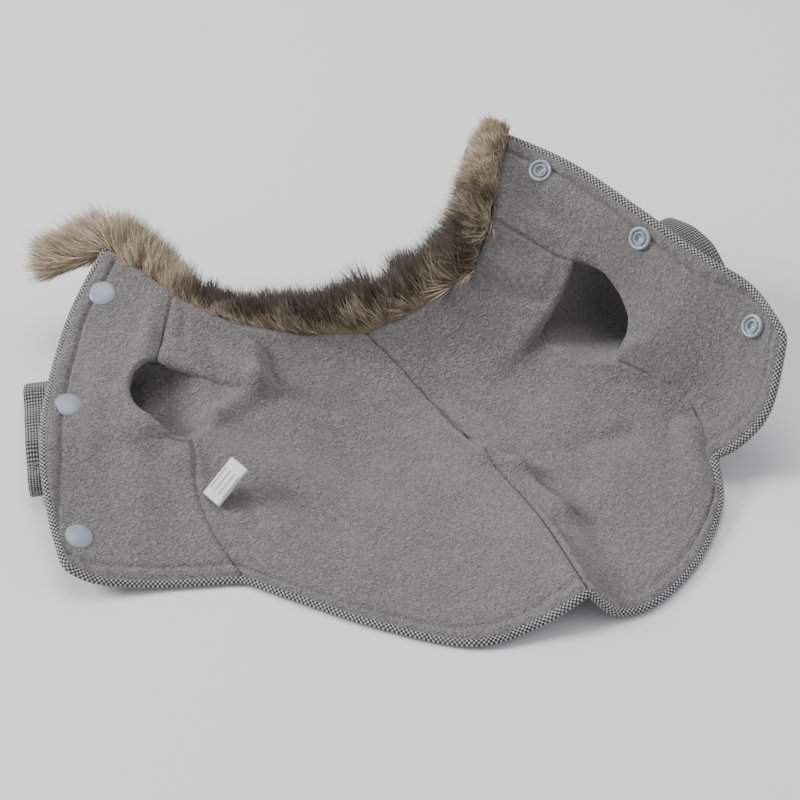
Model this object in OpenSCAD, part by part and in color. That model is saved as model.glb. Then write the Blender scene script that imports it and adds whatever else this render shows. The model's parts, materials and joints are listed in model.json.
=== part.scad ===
// A small dog's winter coat, unfastened and laid open with its lining up.
// +X is to the right and +Y towards the neck, as it lies; +Z is up.
// Every cloth panel is one sheet stretched between its seam and its edges.

/* [Cloth] */
// Thickness of the fleece lining
lining_t = 2; // [1.6:0.1:2.2]
// Thickness of the outer cloth
shell_t = 1.2; // [0.8:0.1:1.4]
// Thickness of the stiffening in the plackets
stiffening_t = 0.5; // [0.3:0.1:0.5]
// Width of the stiffened strip along each placket
placket_w = 17; // [15:1:22]
// Gap in the side seam, where a front folds against the back
fold_gap = 2; // [1.6:0.2:3]

/* [Piping] */
// Diameter of the piping along the hem and plackets
piping_d = 4; // [3.6:0.1:4.2]
// Diameter of the filler cord inside the piping
cord_d = 1.9; // [1.4:0.1:2]

/* [Sleeves] */
// Width of the flattened left sleeve at its cuff
left_sleeve_w = 68; // [62:1:70]
// Height of the flattened left sleeve at its cuff
left_sleeve_h = 16; // [14:1:17]
// Width of the right sleeve at its cuff
right_sleeve_w = 54; // [50:1:56]
// Height of the right sleeve at its cuff
right_sleeve_h = 46; // [42:1:48]
// Length of each cuff
cuff_l = 16; // [12:1:20]

/* [Collar] */
// How far the fur reaches out from the neckline
fur_w = 25; // [20:1:26]
// Height of the fur
fur_h = 17; // [14:1:18]
// Thickness of the smooth facing under the fur
facing_t = 1; // [0.8:0.1:1.2]

/* [Snaps] */
// Diameter of a snap cap
cap_d = 12.4; // [11:0.1:13]
// Diameter of a snap stud or socket
socket_d = 10.6; // [9.6:0.1:11]
// Diameter of the nub on a stud
nub_d = 4.2; // [4:0.1:4.4]
// Play between a nub and the hole in a socket, on the radius
snap_play = 0.1; // [0.06:0.02:0.16]

/* [Label] */
// Length of the label from the seam to its fold
label_l = 21; // [16:1:24]
// Width of the label
label_w = 11; // [9:1:13]

/* [Hidden] */
SNAPS = [1, 2, 3];
$fn = 48;

// ---- Seams and edges, each from the hem towards the neck or from the seam outwards ----
// Centre-back seam
centre_seam = [[12, -146, 17], [20, -100, 12], [25, -56, 6], [22, -8, 4], [19, 21, 9], [10, 40, 22]];
// Left side: side seam, the two halves of the armhole, shoulder, hem, placket and neckline
seam_left = [[-103, -55, 2.4], [-105, -32, 8], [-102, -9, 14], [-92, 17, 20]];
arm_front_left = [[-92, 17, 20], [-103, 25, 25], [-108, 42, 29], [-100, 57, 32], [-87, 62, 32]];
arm_back_left = [[-92, 17, 20], [-80, 24, 18], [-72, 38, 20], [-75, 53, 25], [-87, 62, 32]];
shoulder_left = [[-87, 62, 32], [-76, 75, 35], [-65, 87, 42]];
hem_front_left = [[-103, -55, 2.4], [-134, -41, 3], [-159, -30, 8], [-170, -21, 14]];
hem_back_left = [[-103, -55, 2.4], [-88, -77, 2.4], [-66, -107, 2.4], [-38, -135, 2.4],
    [-11, -143, 7], [12, -146, 17]];
placket_left = [[-170, -21, 14], [-164, 6, 19], [-155, 33, 28], [-140, 61, 32],
    [-109, 103, 37], [-81, 124, 50]];
neck_front_left = [[-65, 87, 42], [-72, 107, 46], [-81, 124, 50]];
neck_back_left = [[-65, 87, 42], [-48, 68, 34], [-22, 52, 27], [10, 40, 22]];
// Right side
seam_right = [[109, -100, 12], [118, -69, 15], [109, -51, 20], [100, -36, 24]];
arm_front_right = [[100, -36, 24], [112, -28, 34], [116, -14, 42], [112, -2, 50], [102, 7, 51]];
arm_back_right = [[100, -36, 24], [88, -25, 20], [82, -6, 20], [87, 9, 32], [102, 7, 51]];
shoulder_right = [[102, 7, 51], [90, 21, 58], [75, 36, 66]];
hem_front_right = [[109, -100, 12], [117, -105, 18], [130, -108, 36], [147, -93, 60]];
hem_back_right = [[109, -100, 12], [98, -121, 5], [70, -143, 2.4], [41, -154, 2.4],
    [23, -152, 4], [12, -146, 17]];
placket_right = [[147, -93, 60], [149, -65, 66], [138, -40, 72], [128, -6, 78],
    [117, 35, 82], [102, 66, 84]];
neck_front_right = [[75, 36, 66], [87, 51, 75], [102, 66, 84]];
neck_back_right = [[75, 36, 66], [61, 29, 50], [39, 33, 33], [10, 40, 22]];
// Where the collar ends beyond the left placket
collar_tip = [-103, 131, 42];

// Folds in the cloth: [x, y], half length, half width, direction, height
FOLDS = [
    [[31, -77], 48, 10, 105, 3],     // crest beside the centre seam
    [[63, -65], 34, 14, 15, -5],     // hollow across the right half
    [[93, -99], 36, 10, 55, 5],      // roll inside the right hem
    [[59, 1], 30, 12, 110, -6],      // hollow below the right armhole
    [[-51, 39], 28, 7, 115, 4],      // fold running in from the left neckline
    [[-35, -27], 50, 30, 40, -4],    // flat where the left half lies down
    [[-127, -1], 30, 9, 70, 4],      // fold across the left front
];

// ---- Layers, measured from the middle surface towards the lining ----
lining_low = 0.15;
lining_high = lining_low + lining_t;
stiffening_high = 0.05;
stiffening_low = stiffening_high - stiffening_t;
shell_high = stiffening_low - 0.1;
shell_low = shell_high - shell_t;
edge_in = piping_d / 2 + 0.9;    // from the piping's middle to the cloth's edge
seam_rows = 7;
arm_rows = 7;
shoulder_rows = 4;
rows = seam_rows + arm_rows + shoulder_rows;
columns = 9;
back_columns = 11;
stiff_columns = round(placket_w / 8);
centre_in = 0.15;                // from the centre seam to the cloth's edge
neck_in = 0.6;                   // from the neckline to the cloth's edge
patch_l = 180;                   // typical length from hem to neck
floor_z = 0;                     // the outer cloth comes no lower than this

// ---- Snaps ----
snap_rows = [0.14, 0.58, 0.88];  // places along a placket, from the hem
snap_in = 9;                     // from a placket's edge to a snap's middle
post_d = 2;
post_play = 0.1;                 // between a post and its hole, on the diameter
cap_sink = 0.6;                  // how deep a cap presses into the fleece
cap_rim = 0.6;
cap_dome = 1.4;
stud_base = 1;
nub_h = 2.2;
stud_hole = 1.6;                 // depth of the post's hole in a stud
socket_h = 3;
socket_depth = 2;
socket_edge = 0.7;               // bevel round the top of a socket
cut = 1;                         // how far a drilled hole runs out past a face

// ---- Curves ----
function mix(a, b, t) = a + (b - a) * t;
function unit(v) = v / norm(v);
// Smooth curve through the points p, at s from 0 to 1
function curve_at(p, s) =
    let (n = len(p) - 1, k = min(n - 1, floor(s * n)), f = s * n - k,
         a = p[max(0, k - 1)], b = p[k], c = p[k + 1], d = p[min(n, k + 2)])
    (2 * b + (c - a) * f + (2 * a - 5 * b + 4 * c - d) * f * f
        + (3 * b - a - 3 * c + d) * f * f * f) / 2;
function curve(p, n) = [for (i = [0 : n]) curve_at(p, i / n)];
function reversed(p) = [for (i = [len(p) - 1 : -1 : 0]) p[i]];
function but_first(p) = [for (i = [1 : len(p) - 1]) p[i]];
// Place on a list of points, at t from 0 to 1
function along(p, t) =
    let (n = len(p) - 1, s = max(0, min(1, t)) * n, k = min(n - 1, floor(s)))
    mix(p[k], p[k + 1], s - k);
function seam_line(seam, arm, shoulder) = concat(curve(seam, seam_rows),
    but_first(curve(arm, arm_rows)), but_first(curve(shoulder, shoulder_rows)));

// ---- Panels: [line by the seam, outer line, hem, neckline, side] ----
front_left = [seam_line(seam_left, arm_front_left, shoulder_left), curve(placket_left, rows),
    curve(hem_front_left, 12), curve(neck_front_left, 12), 1];
front_right = [seam_line(seam_right, arm_front_right, shoulder_right), curve(placket_right, rows),
    curve(hem_front_right, 12), curve(neck_front_right, 12), -1];
back_left = [seam_line(seam_left, arm_back_left, shoulder_left), curve(centre_seam, rows),
    curve(hem_back_left, 16), curve(neck_back_left, 12), -1];
back_right = [seam_line(seam_right, arm_back_right, shoulder_right), curve(centre_seam, rows),
    curve(hem_back_right, 16), curve(neck_back_right, 12), 1];

function fold_height(f, p) =
    let (d = [p[0], p[1]] - f[0], a = f[3],
         l = (d[0] * cos(a) + d[1] * sin(a)) / f[1], w = (d[1] * cos(a) - d[0] * sin(a)) / f[2])
    f[4] * exp(-l * l - w * w);
function folds_at(p) = [for (f = FOLDS) 1] * [for (f = FOLDS) fold_height(f, p)];
// How far the folds show: they die out at every seam and edge
function calm(u, v) = min(1, 6 * u, 6 * (1 - u)) * min(1, 5 * v, 5 * (1 - v));
function panel_at(e, u, v) =
    let (flat = mix(along(e[0], u), along(e[1], u), v) + mix(along(e[2], v), along(e[3], v), u)
            - mix(mix(e[0][0], e[1][0], v), mix(e[0][rows], e[1][rows], v), u),
         z = flat[2] + calm(u, v) * folds_at(flat))
    [flat[0], flat[1], max(z, floor_z - shell_low)];
function own_normal(e, u, v) =
    let (d = 0.02, u0 = max(0, u - d), u1 = min(1, u + d), v0 = max(0, v - d), v1 = min(1, v + d))
    e[4] * unit(cross(panel_at(e, u1, v) - panel_at(e, u0, v),
                      panel_at(e, u, v1) - panel_at(e, u, v0)));
// Two panels that meet share one normal along their seam, so that their layers line up
function shared_normals(a, b, v) = [for (i = [0 : rows])
    unit(own_normal(a, i / rows, v) + own_normal(b, i / rows, v))];
left_seam_normals = shared_normals(front_left, back_left, 0);
right_seam_normals = shared_normals(front_right, back_right, 0);
centre_normals = shared_normals(back_left, back_right, 1);
// Panel p is [lines, side seam's normals, centre seam's normals]
seam_blend = 0.15;
function panel_normal(p, u, v) =
    let (n = own_normal(p[0], u, v),
         s = max(0, 1 - v / seam_blend), c = p[2] == undef ? 0 : max(0, 1 - (1 - v) / seam_blend))
    unit(n * (1 - s) * (1 - c) + s * along(p[1], u) + c * (c > 0 ? along(p[2], u) : n));
panel_front_left = [front_left, left_seam_normals];
panel_front_right = [front_right, right_seam_normals];
panel_back_left = [back_left, left_seam_normals, centre_normals];
panel_back_right = [back_right, right_seam_normals, centre_normals];

// How far along a row or a column to stop, so that the cloth's edge lies d inside an outline
function skew(a, b) = max(0.4, norm(cross(unit(a), unit(b))));
function row_end(e, u, d) =
    let (row = (panel_at(e, u, 1) - panel_at(e, u, 0.96)) / 0.04,
         edge = along(e[1], u + 0.02) - along(e[1], u - 0.02))
    d / norm(row) / skew(row, edge);
function row_start(e, u, d) =
    let (row = (panel_at(e, u, 0.04) - panel_at(e, u, 0)) / 0.04,
         edge = along(e[0], u + 0.02) - along(e[0], u - 0.02))
    d / norm(row) / skew(row, edge);
function column_end(e, v, d) =
    let (col = (panel_at(e, 0.04, v) - panel_at(e, 0, v)) / 0.04,
         edge = along(e[2], v + 0.03) - along(e[2], v - 0.03))
    d / norm(col) / skew(col, edge);
function grid_u(e, i, j) = mix(column_end(e, j, edge_in), 1 - neck_in / patch_l, i);
function grid_v(e, i, j, outer_in) =
    mix(row_start(e, i, fold_gap / 2), 1 - row_end(e, i, outer_in), j);

// A sheet between two levels; first is its first column, and outer_in how far it stops short
module sheet(p, low, high, cols, first, outer_in) {
    e = p[0];
    m = rows + 1;
    n = cols + 1 - first;
    middle = [for (i = [0 : rows]) for (j = [first : cols])
        let (u = grid_u(e, i / rows, j / cols), v = grid_v(e, i / rows, j / cols, outer_in))
            [panel_at(e, u, v), panel_normal(p, u, v)]];
    pts = [for (h = [low, high]) for (q = middle) q[0] + q[1] * h];
    top = m * n;
    function turned(f) = e[4] > 0 ? reversed(f) : f;
    upper = [for (i = [0 : m - 2]) for (j = [0 : n - 2]) let (a = top + i * n + j)
        each [turned([a, a + n, a + 1]), turned([a + 1, a + n, a + n + 1])]];
    lower = [for (i = [0 : m - 2]) for (j = [0 : n - 2]) let (a = i * n + j)
        each [turned([a, a + 1, a + n]), turned([a + 1, a + n + 1, a + n])]];
    rim = concat([for (j = [0 : n - 1]) j], [for (i = [1 : m - 1]) i * n + n - 1],
        [for (j = [n - 2 : -1 : 0]) (m - 1) * n + j], [for (i = [m - 2 : -1 : 1]) i * n]);
    walls = [for (k = [0 : len(rim) - 1]) let (a = rim[k], b = rim[(k + 1) % len(rim)])
        each [turned([a, top + b, b]), turned([a, top + a, top + b])]];
    polyhedron(pts, concat(upper, lower, walls));
}
module lining_front(p) color([0.52, 0.5, 0.48])
    sheet(p, lining_low, lining_high, columns, 0, edge_in);
module lining_back(p) color([0.52, 0.5, 0.48])
    sheet(p, lining_low, lining_high, back_columns, 0, centre_in);
module shell_front(p) color([0.45, 0.45, 0.47])
    sheet(p, shell_low, shell_high, columns, 0, edge_in);
module shell_back(p) color([0.45, 0.45, 0.47])
    sheet(p, shell_low, shell_high, back_columns, 0, centre_in);
module stiffening(p) color("white")
    sheet(p, stiffening_low, stiffening_high, columns, columns - stiff_columns, edge_in);

// ---- Tubes and strips that follow a line ----
function bend(path, i) = unit(path[min(i + 1, len(path) - 1)] - path[max(i - 1, 0)]);
// Skin over a list of closed rings, with both ends filled in
module skin(rings) {
    n = len(rings[0]);
    m = len(rings);
    polyhedron([for (r = rings) each r], concat(
        [for (i = [0 : m - 2]) for (k = [0 : n - 1]) let (a = i * n, b = (k + 1) % n)
            each [[a + k, a + n + k, a + b], [a + b, a + n + k, a + n + b]]],
        [[for (k = [0 : n - 1]) k]], [[for (k = [n - 1 : -1 : 0]) (m - 1) * n + k]]));
}
// Skin over rings that has an inner wall too, and is open at both ends
module hollow_skin(outer, inner) {
    n = len(outer[0]);
    m = len(outer);
    t = n * m;
    polyhedron([each [for (r = outer) each r], each [for (r = inner) each r]], concat(
        [for (i = [0 : m - 2]) for (k = [0 : n - 1]) let (a = i * n, b = (k + 1) % n)
            each [[a + k, a + n + k, a + b], [a + b, a + n + k, a + n + b],
                  [t + a + k, t + a + b, t + a + n + k], [t + a + b, t + a + n + b, t + a + n + k]]],
        [for (k = [0 : n - 1]) let (b = (k + 1) % n, z = (m - 1) * n)
            each [[k, b, t + k], [b, t + b, t + k],
                  [z + k, t + z + k, z + b], [z + b, t + z + k, t + z + b]]]));
}
function round_ring(path, i, r, sides) =
    let (t = bend(path, i), x = unit(cross([0, 0, 1], t)), z = cross(t, x))
    [for (k = [0 : sides - 1]) path[i] + r * (cos(360 * k / sides) * x + sin(360 * k / sides) * z)];
piping_sides = 8;
module piping_tube(path) color([0.42, 0.42, 0.42])
    hollow_skin([for (i = [0 : len(path) - 1]) round_ring(path, i, piping_d / 2, piping_sides)],
        [for (i = [0 : len(path) - 1]) round_ring(path, i, cord_d / 2 + 0.15, piping_sides)]);
module cord(path) color("ivory")
    skin([for (i = [0 : len(path) - 1]) round_ring(path, i, cord_d / 2, piping_sides)]);
// The part of a line of points between two places
function stretch(line, a, b, n) = [for (i = [0 : n]) along(line, mix(a, b, i / n))];
front_edge_left = concat(curve(hem_front_left, 10), but_first(curve(placket_left, 20)));
front_edge_right = concat(curve(hem_front_right, 10), but_first(curve(placket_right, 20)));
back_edge = concat(curve(hem_back_left, 16), but_first(reversed(curve(hem_back_right, 16))));
edge_path_left = stretch(front_edge_left, 0.012, 1, 26);
edge_path_right = stretch(front_edge_right, 0.022, 1, 26);
edge_path_back = stretch(back_edge, 0.01, 0.988, 30);

// ---- Sleeves: [armhole ring, [centre, width direction, half width, half height] ...] ----
ring_sides = 20;
half_ring = ring_sides / 2;
function armhole(front, back, inset) =
    let (loop = concat([for (k = [0 : half_ring]) curve_at(front, k / half_ring)],
            [for (k = [half_ring - 1 : -1 : 1]) curve_at(back, k / half_ring)]),
         c = [for (q = loop) 1] * loop / ring_sides)
    [for (q = loop) q - unit(q - c) * inset];
function flat_ring(s, inset) = [for (k = [0 : ring_sides - 1]) let (a = 180 - 360 * k / ring_sides)
    s[0] + (s[2] - inset) * cos(a) * unit(s[1]) + (s[3] - inset) * sin(a) * [0, 0, 1]];
function lowered(ring, d) = [for (q = ring) q - [0, 0, d]];
sleeve_wall = shell_t;
sleeve_lining_t = 1.2;
sleeve_gap = 0.2;                // between a sleeve and its lining
armhole_in = 2.5;                // from the armhole seam to the sleeve
armhole_drop = 1.5;              // and how far below it the sleeve starts
left_across = [0.37, 0.93, 0];
left_sections = [
    [[-110, 49, 11.6], [0.25, 0.97, 0], 26, 9],
    [[-122, 55, 10.4], left_across, 29, 9],
    [[-135, 60, 9.6], left_across, left_sleeve_w / 2 - 2, left_sleeve_h / 2],
    [[-148, 65, 9.6], left_across, left_sleeve_w / 2, left_sleeve_h / 2]];
right_across = [-0.12, 0.99, 0];
right_sections = [
    [[123, -6, 24], [0, 1, 0], 24, 17],
    [[137, -3, 24], right_across, 26, 21],
    [[149, -1, 24.6], right_across, right_sleeve_w / 2, right_sleeve_h / 2],
    [[165, 1, 24.6], right_across, right_sleeve_w / 2, right_sleeve_h / 2]];
function sleeve_rings(front, back, sections, inset, start) =
    concat([lowered(armhole(front, back, start + inset), armhole_drop)],
        [for (s = sections) flat_ring(s, inset)]);
// Rings turned round where a sleeve points to the right, to keep its faces outwards
function facing_out(rings, to_right) = to_right ? [for (r = rings) reversed(r)] : rings;
module sleeve(front, back, sections, inset, wall, to_right) hollow_skin(
    facing_out(sleeve_rings(front, back, sections, inset, armhole_in), to_right),
    facing_out(sleeve_rings(front, back, sections, inset + wall, armhole_in), to_right));
module sleeve_shell(front, back, sections, to_right) color([0.45, 0.45, 0.47])
    sleeve(front, back, sections, 0, sleeve_wall, to_right);
module sleeve_lining(front, back, sections, to_right) color([0.52, 0.5, 0.48])
    sleeve(front, back, sections, sleeve_wall + sleeve_gap, sleeve_lining_t, to_right);
// A folded band round the last stretch of a sleeve
cuff_past = 3;                   // from the sleeve's end to the cuff's
cuff_wall = 1.3;
cuff_clear = 0.1;                // between the sleeve and the cuff round it
module cuff(sections, to_right) color([0.5, 0.5, 0.5]) {
    last = sections[len(sections) - 1];
    before = sections[len(sections) - 2];
    way = unit(last[0] - before[0]);
    ends = [for (d = [cuff_past - cuff_l, cuff_past]) [last[0] + way * d, last[1], last[2], last[3]]];
    hollow_skin(facing_out([for (e = ends) flat_ring(e, -cuff_clear - cuff_wall)], to_right),
        facing_out([for (e = ends) flat_ring(e, -cuff_clear)], to_right));
}

// ---- Collar: the neckline from the left tip round to the right corner ----
collar_gap = 0.021;
neck_left_line = concat([collar_tip], reversed(curve(neck_front_left, 6)));
neck_back_line = concat(curve(neck_back_left, 10), but_first(reversed(curve(neck_back_right, 10))));
neck_right_line = curve(neck_front_right, 7);
neckline = concat(neck_left_line, but_first(neck_back_line), but_first(neck_right_line));
left_share = (len(neck_left_line) - 1) / (len(neckline) - 1);
right_share = 1 - (len(neck_right_line) - 1) / (len(neckline) - 1);
// Level direction away from the cloth, at a place on the neckline
function outwards(t) =
    let (d = along(neckline, t + 0.04) - along(neckline, t - 0.04)) unit([-d[1], d[0], 0]);
fur_drop = 7;                    // from the neckline down to the fur's middle, beside a fold
fur_rise = 7;                    // how much higher the fur stands away from the folds
fur_clear = 2.4;                 // from the neckline to the fur
fur_sides = 12;
// Ring t is [place on the neckline, how far it has risen from 0 to 1]
function half_fur(t) = fur_w / 2 * (0.75 + 0.25 * t[1]);
function collar_middle(t) = along(neckline, t[0]) + outwards(t[0]) * (fur_clear + half_fur(t))
    + [0, 0, fur_rise * t[1] - fur_drop];
function collar_point(t, grow, a) = collar_middle(t)
    + (half_fur(t) + grow) * cos(a) * outwards(t[0]) + (fur_h / 2 + grow) * sin(a) * [0, 0, 1];
function fur_ring(t) = [for (k = [0 : fur_sides - 1]) collar_point(t, 0, 360 * k / fur_sides)];
facing_steps = 5;
facing_in = 0.9;                 // between the fur's backing and the facing
facing_from = 205;               // the facing lies under the fur, from this angle
facing_turn = 85;                // through this much of a turn
function facing_angle(k) = facing_from + facing_turn * k / facing_steps;
function facing_ring(t) = concat(
    [for (k = [0 : facing_steps]) collar_point(t, facing_in + facing_t, facing_angle(k))],
    [for (k = [facing_steps : -1 : 0]) collar_point(t, facing_in, facing_angle(k))]);
module collar_fur(rings) color([0.6, 0.5, 0.4]) skin([for (t = rings) fur_ring(t)]);
module collar_facing(rings) color([0.55, 0.6, 0.68]) skin([for (t = rings) facing_ring(t)]);
collar_left = [for (i = [0 : 8]) [mix(0, left_share - collar_gap, i / 8), cos(90 * i / 8)]];
collar_back = [for (i = [0 : 16])
    [mix(left_share + collar_gap, right_share - collar_gap, i / 16), sin(180 * i / 16)]];
collar_right = [for (i = [0 : 7]) [mix(right_share + collar_gap, 1, i / 7), sin(90 * i / 7)]];

// ---- Snaps, each standing on its placket ----
// Place across a panel that lies d inside the placket's edge, found by stepping inwards
function place_in(e, u, d) =
    let (edge = along(e[1], u + 0.02) - along(e[1], u - 0.02))
    [for (k = [1 : 100]) let (v = 1 - k / 200, away = panel_at(e, u, v) - along(e[1], u))
        if (norm(away) * skew(away, edge) >= d) v][0];
module on_placket(panel, k) {
    e = panel[0];
    u = snap_rows[k - 1];
    v = place_in(e, u, snap_in);
    p = panel_at(e, u, v);
    n = panel_normal(panel, u, v);
    translate(p) rotate([0, acos(n[2]), atan2(n[1], n[0])]) children();
}
// Domed cap with its post; z = 0 is where it meets the cloth, and the post points down
module cap(post_l) {
    arc = [for (k = [0 : 6]) let (a = 90 * k / 6)
        [cap_d / 2 * cos(a), cap_rim + cap_dome * sin(a)]];
    rotate_extrude() polygon(concat([[0, 0], [cap_d / 2, 0]], arc));
    translate([0, 0, -post_l]) cylinder(h = post_l + 0.2, d = post_d);
}
// Flange with a round nub that presses into a socket; z = 0 meets the cloth
module stud() difference() {
    union() {
        cylinder(h = stud_base, d = socket_d);
        cylinder(h = stud_base + nub_h, d = nub_d);
    }
    translate([0, 0, -cut]) cylinder(h = cut + stud_hole, d = post_d + post_play);
}
// Ring with the hole that a nub presses into; z = 0 meets the cloth
module socket() difference() {
    rotate_extrude() polygon([[0, 0], [socket_d / 2, 0], [socket_d / 2, socket_h - socket_edge],
        [socket_d / 2 - socket_edge, socket_h], [0, socket_h]]);
    translate([0, 0, socket_h - socket_depth])
        cylinder(h = socket_depth + cut, d = nub_d + 2 * snap_play);
    translate([0, 0, -cut]) cylinder(h = socket_h, d = post_d + post_play);
}
lining_seat = lining_high - cap_sink;
through_cloth = lining_seat - shell_low;
in_stud = 0.9;                   // how far a post reaches into a stud
in_socket = 0.5;                 // how far a post reaches into a socket
module snap_cap_left(k) color([0.6, 0.66, 0.74])
    on_placket(panel_front_left, k) translate([0, 0, lining_seat]) cap(through_cloth + in_stud);
module snap_stud_left(k) color([0.6, 0.66, 0.74])
    on_placket(panel_front_left, k) translate([0, 0, shell_low]) rotate([180, 0, 0]) stud();
module snap_cap_right(k) color([0.75, 0.8, 0.86])
    on_placket(panel_front_right, k) translate([0, 0, shell_low]) rotate([180, 0, 0])
        cap(through_cloth + in_socket);
module snap_socket_right(k) color([0.75, 0.8, 0.86])
    on_placket(panel_front_right, k) translate([0, 0, lining_seat]) socket();

// ---- Label: one ribbon doubled back at its free end, its ends sewn into the left side seam ----
label_root = [-100.2, -18, 16];
label_turn = 11;                 // its direction away from straight to the right
label_lean = 34;                 // how steeply it stands up from the lining
ribbon_t = 0.35;
ribbon_gap = 0.25;               // half the space between the ribbon's two layers
label_start = 0.8;               // from the seam to where the ribbon is free
// Half ring that turns the ribbon back on itself
module ribbon_turn() linear_extrude(label_w) difference() {
    r = ribbon_gap + ribbon_t;
    circle(r = r);
    circle(r = ribbon_gap);
    translate([-2 * r, -4 * r]) square(4 * r);
}
module woven_label() color("white")
    translate(label_root) rotate([0, 0, label_turn]) rotate([0, -label_lean, 0]) {
        flat_l = label_l - ribbon_gap - ribbon_t;
        for (z = [-ribbon_t - ribbon_gap, ribbon_gap])
            translate([label_start, -label_w / 2, z]) cube([flat_l - label_start, label_w, ribbon_t]);
        translate([flat_l, label_w / 2, 0]) rotate([90, 0, 0]) rotate([0, 0, -90]) ribbon_turn();
    }

shell_back(panel_back_left);  // shell_back_left
shell_back(panel_back_right);  // shell_back_right
lining_back(panel_back_left);  // lining_back_left
lining_back(panel_back_right);  // lining_back_right
piping_tube(edge_path_back);  // hem_piping_back
cord(edge_path_back);  // piping_cord_back
sleeve_shell(arm_front_left, arm_back_left, left_sections, false);  // sleeve_shell_left
sleeve_shell(arm_front_right, arm_back_right, right_sections, true);  // sleeve_shell_right
sleeve_lining(arm_front_left, arm_back_left, left_sections, false);  // sleeve_lining_left
sleeve_lining(arm_front_right, arm_back_right, right_sections, true);  // sleeve_lining_right
cuff(left_sections, false);  // cuff_left
cuff(right_sections, true);  // cuff_right
collar_fur(collar_back);  // collar_fur_back
collar_facing(collar_back);  // collar_facing_back
shell_front(panel_front_left);  // shell_front_left
lining_front(panel_front_left);  // lining_front_left
stiffening(panel_front_left);  // placket_stiffening_left
piping_tube(edge_path_left);  // piping_left
cord(edge_path_left);  // piping_cord_left
collar_fur(collar_left);  // collar_fur_left
collar_facing(collar_left);  // collar_facing_left
shell_front(panel_front_right);  // shell_front_right
lining_front(panel_front_right);  // lining_front_right
stiffening(panel_front_right);  // placket_stiffening_right
piping_tube(edge_path_right);  // piping_right
cord(edge_path_right);  // piping_cord_right
collar_fur(collar_right);  // collar_fur_right
collar_facing(collar_right);  // collar_facing_right
for (k = SNAPS) {
    snap_cap_left(k);
    snap_stud_left(k);
    snap_cap_right(k);
    snap_socket_right(k);
}
woven_label();
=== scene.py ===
import json
import math

import bpy
import numpy as np
from mathutils import Matrix, Vector, kdtree


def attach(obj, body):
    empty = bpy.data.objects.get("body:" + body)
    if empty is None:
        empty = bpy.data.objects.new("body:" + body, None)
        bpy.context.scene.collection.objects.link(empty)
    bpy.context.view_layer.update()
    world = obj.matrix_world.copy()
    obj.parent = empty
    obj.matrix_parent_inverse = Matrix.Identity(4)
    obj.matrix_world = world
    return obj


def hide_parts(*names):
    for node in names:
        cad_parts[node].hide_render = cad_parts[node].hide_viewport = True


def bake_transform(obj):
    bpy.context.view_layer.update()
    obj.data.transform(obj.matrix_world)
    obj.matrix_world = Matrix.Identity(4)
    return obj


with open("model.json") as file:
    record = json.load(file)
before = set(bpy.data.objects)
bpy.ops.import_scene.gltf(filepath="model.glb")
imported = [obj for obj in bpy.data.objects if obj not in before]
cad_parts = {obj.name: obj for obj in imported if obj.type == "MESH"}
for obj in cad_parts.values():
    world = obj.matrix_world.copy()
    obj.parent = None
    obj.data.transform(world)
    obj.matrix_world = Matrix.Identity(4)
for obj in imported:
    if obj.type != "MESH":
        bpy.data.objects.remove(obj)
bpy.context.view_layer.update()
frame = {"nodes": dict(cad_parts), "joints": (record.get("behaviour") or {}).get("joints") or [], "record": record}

# ---- Camera and light ----
# The coat lies on a plain pale surface, seen from its front left, from well above,
# in the soft light of a white room with a large window on the left.
MM = 0.001
view_azimuth, view_elevation, view_distance = math.radians(-30), math.radians(42), 1.1
look_at = Vector((13, 13, 0)) * MM
to_camera = Vector((math.sin(view_azimuth) * math.cos(view_elevation),
                    -math.cos(view_azimuth) * math.cos(view_elevation),
                    math.sin(view_elevation)))
camera = bpy.data.objects.new("camera", bpy.data.cameras.new("camera"))
camera.location = look_at + to_camera * view_distance
camera.rotation_mode = "QUATERNION"
camera.rotation_quaternion = (-to_camera).to_track_quat("-Z", "Y")
camera.data.lens = 106.45
bpy.context.scene.collection.objects.link(camera)
bpy.context.scene.camera = camera


def soft_light(name, place, size, power, colour):
    lamp = bpy.data.lights.new(name, "AREA")
    lamp.shape = "DISK"
    lamp.size, lamp.energy, lamp.color = size, power, colour
    holder = bpy.data.objects.new(name, lamp)
    holder.location = place
    holder.rotation_mode = "QUATERNION"
    holder.rotation_quaternion = (look_at - holder.location).to_track_quat("-Z", "Y")
    bpy.context.scene.collection.objects.link(holder)


soft_light("window", Vector((-1.6, 0.9, 1.3)), 0.9, 44, (1.0, 0.99, 0.97))
soft_light("ceiling", Vector((0.2, 0.6, 2.2)), 1.4, 22, (1.0, 1.0, 1.0))
soft_light("wall", Vector((1.5, -1.2, 1.2)), 1.4, 7, (0.96, 0.98, 1.0))
world = bpy.data.worlds.new("room")
world.use_nodes = True
world.node_tree.nodes["Background"].inputs["Color"].default_value = (0.86, 0.87, 0.89, 1)
world.node_tree.nodes["Background"].inputs["Strength"].default_value = 0.58
bpy.context.scene.world = world

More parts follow.
